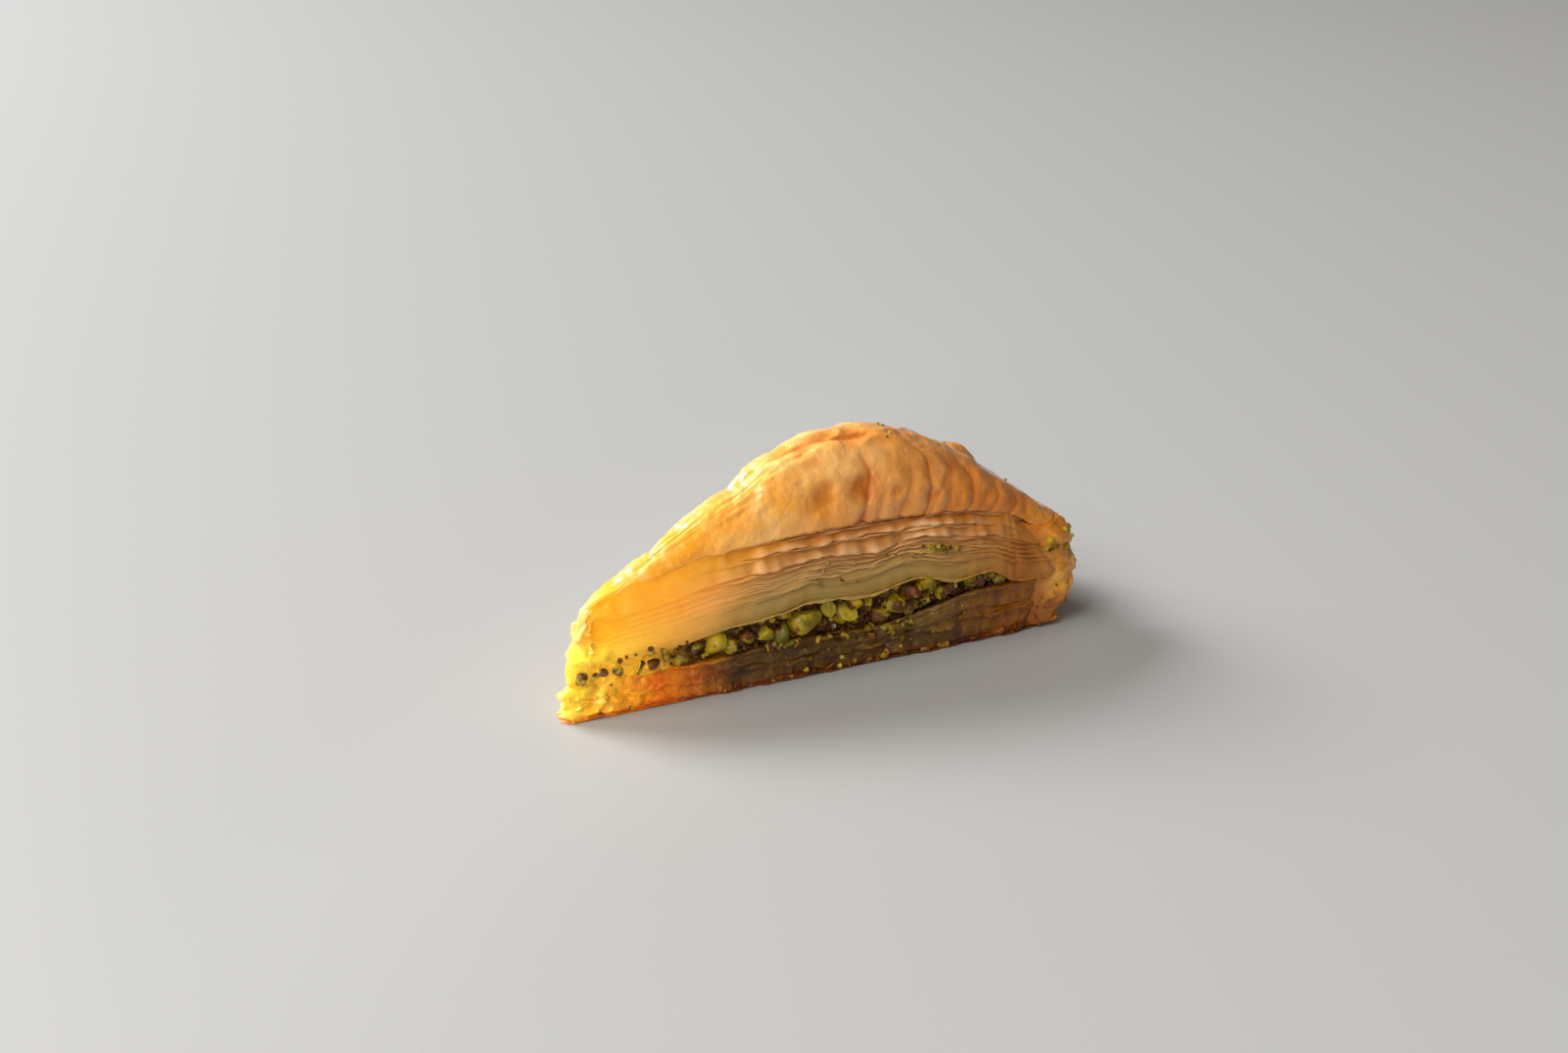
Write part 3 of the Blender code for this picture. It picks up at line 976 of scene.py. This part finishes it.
def crust_base(along, across):
    """The crust's smooth outer form, without its folds."""
    along, across = clamp(along), clamp(across)
    edge_z, ridge_z = height(WALL_TOP, along), height(RIDGE, along)
    z = edge_z + (ridge_z - edge_z) * dome(across)
    puff = smoothstep(0.6, 0.82, across) * min(1.0, 1.6 * dome(across))
    puff *= smoothstep(0.88, 0.98, along) * (1.0 - 0.6 * smoothstep(0.98, 1.0, along))
    z += FAR_CORNER_PUFF * puff
    z -= TIP_DROP * (1.0 - smoothstep(0.0, 0.04, along)) * dome(across)
    x, y = plan_point(along, across, CRUST_PROUD, end_bulge(z) * 0.6 - 0.6 * MM, -2.0 * MM)
    return Vector((x, y, z))


def pleat_depth(along, across, pleats):
    """How deep the creases press in here: a sharp fold in a soft hollow."""
    depth = 0.0
    for start, lean, deep, reach in pleats:
        off = (along - start - lean * across) * LENGTH
        off += PLEAT_WANDER * noise.noise(Vector((across * 9.0, start * 60.0, 2.0)))
        if abs(off) < PLEAT_REACH and across < reach:
            fold = 0.62 * exp(-abs(off) / PLEAT_WIDTH) + 0.38 * exp(-((off / PLEAT_HOLLOW_WIDTH) ** 2))
            depth += deep * MM * fold * (1.0 - smoothstep(0.1 * reach, reach, across))
    return depth


def sunk_depth(along, across):
    """How deep the sunken spots are here."""
    depth = 0.0
    for start, over, width, deep in SUNK_SPOTS:
        off = (along - start) * LENGTH
        side = (across - over) * WEDGE_ANGLE * radius_at(along)
        rise = (dome(across) - dome(over)) * CRUST_RISE
        uneven = 1.0 + 0.7 * noise.noise(Vector((along * 50.0, across * 20.0, start * 30.0)))
        distance = (off * off + side * side + rise * rise) * uneven / (width * MM) ** 2
        depth += deep * MM * exp(-(distance**1.5))
    return depth


def roll_line(along):
    """Where the valley between the front roll and the puffed back runs, as a share across."""
    return 0.6 - 0.75 * (along - 0.34)


def notch_depth(along, across):
    """How deep the notches between the pillows are here."""
    depth = 0.0
    for share, deep in RIDGE_NOTCHES:
        off = (along - share - 0.05 * (across - 0.5)) * LENGTH
        notch = 0.6 * exp(-abs(off) / (1.3 * MM)) + 0.4 * exp(-((off / (4.0 * MM)) ** 2))
        depth += deep * MM * notch * smoothstep(0.12, 0.35, across)
    return depth


def roll_relief(along, across):
    """The valley behind the front roll, and the puffed back beyond it."""
    running = smoothstep(0.3, 0.36, along) * (1.0 - smoothstep(0.56, 0.7, along))
    off = (across - roll_line(along)) * WEDGE_ANGLE * radius_at(along)
    valley = 0.8 * exp(-abs(off) / (1.2 * MM)) + 0.4 * exp(-((off / (4.0 * MM)) ** 2))
    puffed = 0.7 * smoothstep(0.0, 8.0 * MM, off) * (1.0 - smoothstep(0.8, 1.0, across))
    return running * (puffed - valley) * MM


def wrinkle_relief(along, across):
    """Creased skin over the top, and long streaks that climb from the tip."""
    top = smoothstep(0.2, 0.4, across) * (1.0 - smoothstep(0.7, 0.9, across))
    top *= smoothstep(0.35, 0.5, along) * (1.0 - smoothstep(0.86, 0.96, along))
    wrinkle = 1.0 - 2.2 * abs(noise.noise(Vector((along * 16.0, across * 7.0 + 1.4 * along, 4.0))))
    streak = 1.0 - 2.2 * abs(noise.noise(Vector((along * 9.0 - across, across * 13.0, 9.0))))
    streak *= (1.0 - smoothstep(0.4, 0.6, along)) * dome(across)
    return (0.45 * wrinkle * top + 0.28 * streak) * MM


def blister_relief(along, across, spot):
    """Blisters of three sizes, the smallest on the glazed slope above the tip."""
    fine = (1.0 - smoothstep(0.3, 0.6, along)) * (0.3 + across)
    blisters = 0.6 * rough(*spot, 7.0 * MM, 23.0) + 0.22 * rough(*spot, 2.6 * MM, 27.0)
    return (blisters + 0.3 * fine * rough(*spot, 1.4 * MM, 29.0)) * MM


def crust_relief(along, across, spot):
    """How far the crust stands out of its smooth form."""
    pleats = pleat_depth(along, across, FRONT_PLEATS) + pleat_depth(along, 1.0 - across, BACK_PLEATS)
    pressed = pleats + sunk_depth(along, across) + notch_depth(along, across)
    raised = roll_relief(along, across) + wrinkle_relief(along, across)
    return raised + blister_relief(along, across, spot) - pressed


def crust_point(along, across, up):
    """The crust, relief and all, pushed out of its smooth form, with a ragged cut edge.

    Its second tint value is the share across.
    """
    across = to_faces(across)
    spot = crust_base(along, across)
    run = crust_base(along + SLOPE_STEP, across) - crust_base(along - SLOPE_STEP, across)
    turn = crust_base(along, across + SLOPE_STEP) - crust_base(along, across - SLOPE_STEP)
    outward = run.cross(turn).normalized()
    relief = crust_relief(along, across, spot)
    ragged = 0.55 * rough(spot.x, spot.y, 0.0, 4.5 * MM, 41.0)
    ragged += 0.3 * rough(spot.x, spot.y, 0.0, 1.1 * MM, 43.0)
    spot += outward * (relief - (1.0 - up) * CRUST_THICKNESS)
    spot.z += (1.0 - dome(across)) ** 2 * ragged * MM
    hollow = 0.5 - relief / (1.6 * MM) + 0.3 * sunk_depth(along, across) / MM
    return spot, (along, across, clamp(hollow))


BAKED_BROWN = srgb(206, 122, 18)
CRUST_GLOW_DEPTH = 0.8 * MM


def crust_finish():
    """Glazed golden crust, darker towards the wide end with painted shade and baked brown at the very
    end.

    Its bulges carry a painted highlight and its creases painted shade, and the tip's gold is brightened
    as a painted glow.
    """
    finish = Finish("puffed_crust", 0.3, coat=0.8, subsurface=0.2, scale=CRUST_GLOW_DEPTH)
    broad = finish.group(PATCHES, Scale=75.0, Contrast=3.2)
    fine = finish.group(PATCHES, Scale=260.0, Contrast=2.6)
    body = finish.mix(broad, srgb(234, 152, 54), srgb(250, 200, 128))
    body = finish.mix(finish.maths("MULTIPLY", fine, 0.5), body, srgb(242, 172, 84))
    # Painted shade: darker towards the wide end.
    shade = finish.mask(finish.along, (0.5, 0.0), (0.85, 0.8))
    body = finish.mix(shade, body, srgb(188, 110, 26))
    # Painted shade: darker in the creases and hollows of the relief.
    hollow = finish.mask(finish.hollow, (0.52, 0.0), (0.82, 0.5), (1.0, 0.85))
    body = finish.mix(hollow, body, srgb(190, 98, 4))
    # Painted highlight: paler on the bulges of the relief.
    painted_crest_highlight = finish.mask(finish.hollow, (0.0, 0.6), (0.35, 0.0))
    body = finish.mix(painted_crest_highlight, body, srgb(252, 212, 150))
    # Golden towards the tip, brightened as a painted glow of light through the thin crust.
    tip = finish.mask(finish.along, (0.0, 1.0), (0.32, 0.85), (0.56, 0.0))
    painted_glow_gold = finish.mix(broad, srgb(255, 170, 34), srgb(255, 206, 122))
    body = finish.mix(tip, body, painted_glow_gold)
    end = finish.mask(finish.along, (0.92, 0.0), (1.0, 0.9))
    finish.colour(finish.mix(end, body, finish.mix(fine, BAKED_BROWN, srgb(236, 170, 66))))
    wrinkled = finish.maths("MULTIPLY", finish.group(PATCHES, Scale=620.0, Contrast=3.0), 0.4)
    finish.bump(finish.maths("ADD", finish.maths("MULTIPLY", fine, 0.6), wrinkled), 0.3 * MM, 0.8)
    return finish.material


crust_glaze = crust_finish()
crust = add_piece("puffed_crust", box_form((340, 84, 2), crust_point), crust_glaze)
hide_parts("upper_pastry")

# ---------------------------------------------------------------------------
# Baked rim: where the sheets were pressed against the tray's wall they bent up
# together into one amber rind that wraps both corners of the wide end.
# ---------------------------------------------------------------------------
RIM_START = 0.955
RIM_CORNERS = (0.2, 0.8)


def rim_path(run):
    """(along, across) at a share of the rim's run, from one cut face round to the other."""
    first, last = RIM_CORNERS
    if run < first:
        return RIM_START + (1.0 - RIM_START) * run / first, 0.0
    if run > last:
        return 1.0 - (1.0 - RIM_START) * (run - last) / (1.0 - last), 1.0
    return 1.0, (run - first) / (last - first)


def rim_point(run, inward, up):
    """The rind: pleated upright, flaked in ledges, and ragged at its foot.

    Its tint values are the share of its height, how far it is turned to the
    tray's wall, and how hollow the spot is.
    """
    along, across = rim_path(run)
    x, y = plan_point(along, across)
    foot = (1.0 + 0.8 * rough(x, y, 0.0, 3.0 * MM, 5.0)) * MM
    top = crust_base(along, across).z - 0.2 * MM
    z = foot + (top - foot) * up
    shift = 0.05 * rough(x, y, z, 5.0 * MM, 33.0)
    ends = smoothstep(0.0, 0.24, run + shift) * (1.0 - smoothstep(0.76, 1.0, run + shift))
    pleat = rough(x, y, z * 0.2, 1.9 * MM, 13.0)
    ledge = hang((up * 6.3 + 0.9 * rough(x, y, 0.0, 6.0 * MM, 3.0)) % 1.0)
    grain = rough(x, y, z, 1.1 * MM, 17.0) * ends
    lump = rough(x, y, z, 5.0 * MM, 21.0)
    turned = smoothstep(0.12, 0.26, run + shift) * (1.0 - smoothstep(0.74, 0.88, run + shift))
    proud = (0.25 + 0.9 * lump) * MM * ends - 2.0 * MM * (1.0 - ends)
    proud += (0.5 * pleat + 0.25 * ledge + 0.6 * grain) * MM * turned
    proud -= 0.8 * MM * smoothstep(0.85, 1.0, up) + inward * 1.5 * MM
    x, y = plan_point(along, across, proud, end_bulge(z) - 0.2 * MM + proud)
    hollow = 0.55 - 0.5 * pleat - 0.3 * grain
    return (x, y, z), (up, turned, clamp(hollow))


def rim_finish():
    """Amber rind where the wall is turned out, fused tan pastry where it meets the cuts."""
    finish = Finish("baked_rim", 0.32, coat=0.45, subsurface=0.2, scale=CRUST_GLOW_DEPTH)
    broad = finish.group(PATCHES, Scale=140.0, Contrast=3.5)
    body = finish.mix(broad, srgb(236, 150, 24), srgb(255, 208, 96))
    # Painted shade: darker in the hollows between the pleats and grain.
    hollow = finish.mask(finish.hollow, (0.6, 0.0), (1.0, 0.7))
    body = finish.mix(hollow, body, srgb(150, 80, 6))
    body = finish.mix(finish.level, finish.mix(broad, FUSED_DARK, FUSED_PALE), body)
    foot = finish.mask(finish.along, (0.0, 0.9), (0.12, 0.5), (0.35, 0.0))
    body = finish.mix(foot, body, srgb(128, 60, 4))
    top = finish.mask(finish.along, (0.75, 0.0), (1.0, 0.8))
    finish.colour(finish.mix(top, body, BAKED_BROWN))
    finish.bump(finish.group(PATCHES, Scale=700.0, Contrast=2.5), 0.2 * MM, 0.6)
    return finish.material


rim = add_piece("baked_rim", box_form((260, 2, 60), rim_point), rim_finish())

# ---------------------------------------------------------------------------
# Loose bits: pistachio crumbs spilled on the walls, the crust and the rim, and
# pastry flakes torn off by the knife, along the foot, the tip and the rim.
# ---------------------------------------------------------------------------
CRUMB_GAP = 0.5 * MM


def lower_spot(along, level, side=0):
    """A point on the lower stack's wall."""
    return Vector(lower_core_point(along, side, level)[0])


def upper_spot(along, level, side=0):
    """A point just outside the upper stack's wall."""
    outwards = Vector((0.0, (2.0 * side - 1.0) * CRUMB_GAP, 0.0))
    return Vector(upper_core_point(along, side, level)[0]) + outwards


def crust_spot(along, across):
    """A point on top of the crust, for a share across before the rows are crowded."""
    return Vector(crust_point(along, acos(1.0 - 2.0 * across) / pi, 1.0)[0])


def rim_spot(run, up):
    """A point on the outside of the rim."""
    return Vector(rim_point(run, 0.0, up)[0])


def lower_back_spot(along, level):
    """The same at the back cut."""
    return lower_spot(along, level, 1)


def upper_back_spot(along, level):
    """The same at the back cut."""
    return upper_spot(along, level, 1)


def scattered(draw, patches):
    """(spot, radius, subdivisions, skin) of bits strewn over patches of the surfaces."""
    made = []
    for surface, first, second, count, sizes, skins in patches:
        for _ in range(count):
            spot = surface(draw.uniform(*first), draw.uniform(*second))
            radius = draw.uniform(*sizes) * MM
            spot.z = max(spot.z, radius)
            made.append((spot, radius, 1, draw.uniform(*skins)))
    return made


# Surface, its two ranges, count, radius range in mm, range of clinging skin.
CRUMB_PATCHES = (
    (upper_spot, (0.745, 0.765), (0.36, 0.44), 2, (0.9, 1.4), (0.0, 0.1)),
    (upper_spot, (0.77, 0.805), (0.3, 0.42), 7, (0.5, 1.0), (0.0, 0.4)),
    (upper_spot, (0.66, 0.74), (0.2, 0.42), 6, (0.3, 0.6), (0.0, 0.7)),
    (upper_spot, (0.5, 0.66), (0.15, 0.5), 7, (0.3, 0.6), (0.0, 0.3)),
    (upper_spot, (0.05, 0.3), (0.0, 0.05), 9, (0.4, 0.9), (0.7, 1.0)),
    (upper_back_spot, (0.3, 0.85), (0.05, 0.5), 20, (0.3, 0.9), (0.0, 0.8)),
    (lower_spot, (0.36, 0.56), (0.8, 1.0), 12, (0.7, 1.4), (0.2, 0.9)),
    (lower_spot, (0.56, 0.72), (0.7, 1.0), 14, (0.7, 1.6), (0.2, 0.9)),
    (lower_spot, (0.45, 0.72), (0.15, 0.6), 8, (0.6, 1.1), (0.2, 0.8)),
    (lower_spot, (0.2, 0.85), (0.1, 0.9), 9, (0.3, 0.6), (0.4, 1.0)),
    (lower_spot, (0.45, 0.8), (0.0, 0.1), 6, (0.5, 0.9), (0.4, 1.0)),
    (lower_spot, (0.03, 0.13), (0.2, 0.9), 5, (0.5, 0.9), (0.95, 1.0)),
    (lower_back_spot, (0.1, 0.85), (0.05, 1.0), 55, (0.35, 1.0), (0.0, 1.0)),
    (rim_spot, (0.14, 0.3), (0.7, 0.92), 14, (0.6, 1.2), (0.0, 0.2)),
    (rim_spot, (0.05, 0.95), (0.05, 0.95), 16, (0.3, 0.6), (0.0, 1.0)),
    (crust_spot, (0.68, 0.7), (0.5, 0.56), 2, (0.5, 0.8), (0.0, 0.1)),
    (crust_spot, (0.65, 0.68), (0.3, 0.4), 2, (0.4, 0.8), (0.4, 0.8)),
    (crust_spot, (0.84, 0.96), (0.3, 0.9), 10, (0.3, 0.7), (0.0, 0.4)),
)
CRUMB_SEED = 77
crumb_draw = Random(CRUMB_SEED)
crumb_form = nut_form(scattered(crumb_draw, CRUMB_PATCHES), crumb_draw, lambda draw: draw.choice((1, 2)))
crumbs = add_piece("pistachio_crumbs", crumb_form, skin_finish("crumb_skin"))
crumbs.data.materials.append(flesh_finish("crumb_flesh"))
flat_cuts(crumbs)

FLAKE_SHAPE = (1.0, 0.7, 0.14)
FLAKE_PATCHES = (
    (lower_spot, (0.15, 0.97), (0.0, 0.1), 36, (0.6, 1.5), (0.0, 1.0)),
    (lower_back_spot, (0.15, 0.97), (0.0, 0.1), 36, (0.6, 1.5), (0.0, 1.0)),
    (rim_spot, (0.1, 0.9), (0.0, 0.25), 34, (0.6, 1.6), (0.0, 1.0)),
    (rim_spot, (0.1, 0.9), (0.25, 1.0), 24, (0.5, 1.1), (0.0, 1.0)),
    (lower_spot, (0.0, 0.02), (0.05, 1.0), 12, (0.5, 1.0), (0.0, 1.0)),
    (upper_spot, (0.0, 0.02), (0.0, 1.0), 12, (0.4, 0.9), (0.0, 1.0)),
)


def flake_finish():
    """Crisp flakes from dark brown to tan, golden at the tip, where they share the painted glow."""
    finish = Finish("pastry_flakes", 0.32, coat=0.4, subsurface=0.3)
    tones = finish.ramp(finish.level, [
        (0.0, srgb(88, 36, 2)), (0.5, srgb(150, 84, 14)), (1.0, srgb(206, 140, 52)),
    ])
    body = finish.mix(finish.group(PATCHES, Scale=500.0, Contrast=2.0), tones, srgb(134, 70, 8))
    # Golden at the tip: painted glow of light coming through there.
    tip = finish.mask(finish.along, (0.05, 0.95), (0.25, 0.0))
    finish.colour(finish.mix(tip, body, srgb(255, 204, 74)))
    finish.bump(finish.group(PATCHES, Scale=1300.0, Contrast=2.0), 0.1 * MM)
    return finish.material


flake_form = nut_form(scattered(crumb_draw, FLAKE_PATCHES), crumb_draw, lambda draw: 2, FLAKE_SHAPE)
flakes = add_piece("pastry_flakes", flake_form, flake_finish())
flat_cuts(flakes)

# ---------------------------------------------------------------------------
# The plate's surface is left out: a plain pale floor, a large soft window light
# from the back left, a softer one from above, a weak fill, a narrow bounce that
# makes the tip glow, and the camera.
# ---------------------------------------------------------------------------
CAMERA_PLACE = Vector((-0.247324, -0.479699, 0.226008))
CAMERA_AIM = Vector((0.42755, 0.83531, -0.34563))
FLOOR_SIZE = 3.0

# What the lights are aimed at.
MIDDLE = (0.0, 0.0, 0.02)
TIP = (-0.06, -0.012, 0.012)
BOUNCE_SPREAD = radians(5.6)


def build_floor():
    """A plain pale floor, which isn't part of the food."""
    floor = bmesh.new()
    bmesh.ops.create_grid(floor, x_segments=2, y_segments=2, size=FLOOR_SIZE)
    mesh = bpy.data.meshes.new("floor")
    floor.to_mesh(mesh)
    floor.free()
    finish = bpy.data.materials.new("pale_floor")
    finish.use_nodes = True
    shader = finish.node_tree.nodes["Principled BSDF"]
    shader.inputs["Base Color"].default_value = (*srgb(158, 160, 162), 1.0)
    shader.inputs["Roughness"].default_value = 0.45
    mesh.materials.append(finish)
    ground = bpy.data.objects.new("floor", mesh)
    bpy.context.scene.collection.objects.link(ground)


def add_light(name, place, target, size, power, colour, spread=pi):
    """A rectangular area light at place, aimed at target."""
    light = bpy.data.lights.new(name, "AREA")
    light.shape = "RECTANGLE"
    light.size, light.size_y = size
    light.energy = power
    light.color = colour
    light.spread = spread
    lamp = bpy.data.objects.new(name, light)
    bpy.context.scene.collection.objects.link(lamp)
    lamp.location = place
    lamp.rotation_euler = (Vector(target) - Vector(place)).to_track_quat("-Z", "Y").to_euler()


def build_studio():
    """A weak warm light from all around."""
    world = bpy.data.worlds.new("studio")
    world.use_nodes = True
    sky = world.node_tree.nodes["Background"]
    sky.inputs["Color"].default_value = (1.0, 0.88, 0.74, 1.0)
    sky.inputs["Strength"].default_value = 0.16
    bpy.context.scene.world = world
    bpy.context.scene.view_settings.view_transform = "Standard"


def build_camera():
    """The camera, a little above the piece and in front of its tip."""
    camera = bpy.data.cameras.new("camera")
    camera.sensor_width = 36.0
    camera.lens = 57.6
    camera.clip_start, camera.clip_end = 0.01, 20.0
    eye = bpy.data.objects.new("camera", camera)
    bpy.context.scene.collection.objects.link(eye)
    eye.location = CAMERA_PLACE
    eye.rotation_euler = CAMERA_AIM.to_track_quat("-Z", "Y").to_euler()
    bpy.context.scene.camera = eye


build_floor()
add_light("window", (-1.1, 1.7, 1.3), MIDDLE, (1.4, 1.0), 105.0, (1.0, 0.99, 0.97))
add_light("ceiling", (-1.4, -0.3, 1.5), MIDDLE, (1.6, 1.2), 44.0, (1.0, 0.96, 0.9))
add_light("fill", (-0.9, -1.5, 0.6), MIDDLE, (1.2, 0.5), 8.0, (1.0, 0.84, 0.64))
add_light("bounce", (-0.5, -0.45, 0.13), TIP, (0.05, 0.05), 0.006, (1.0, 0.94, 0.7), BOUNCE_SPREAD)
build_studio()
build_camera()
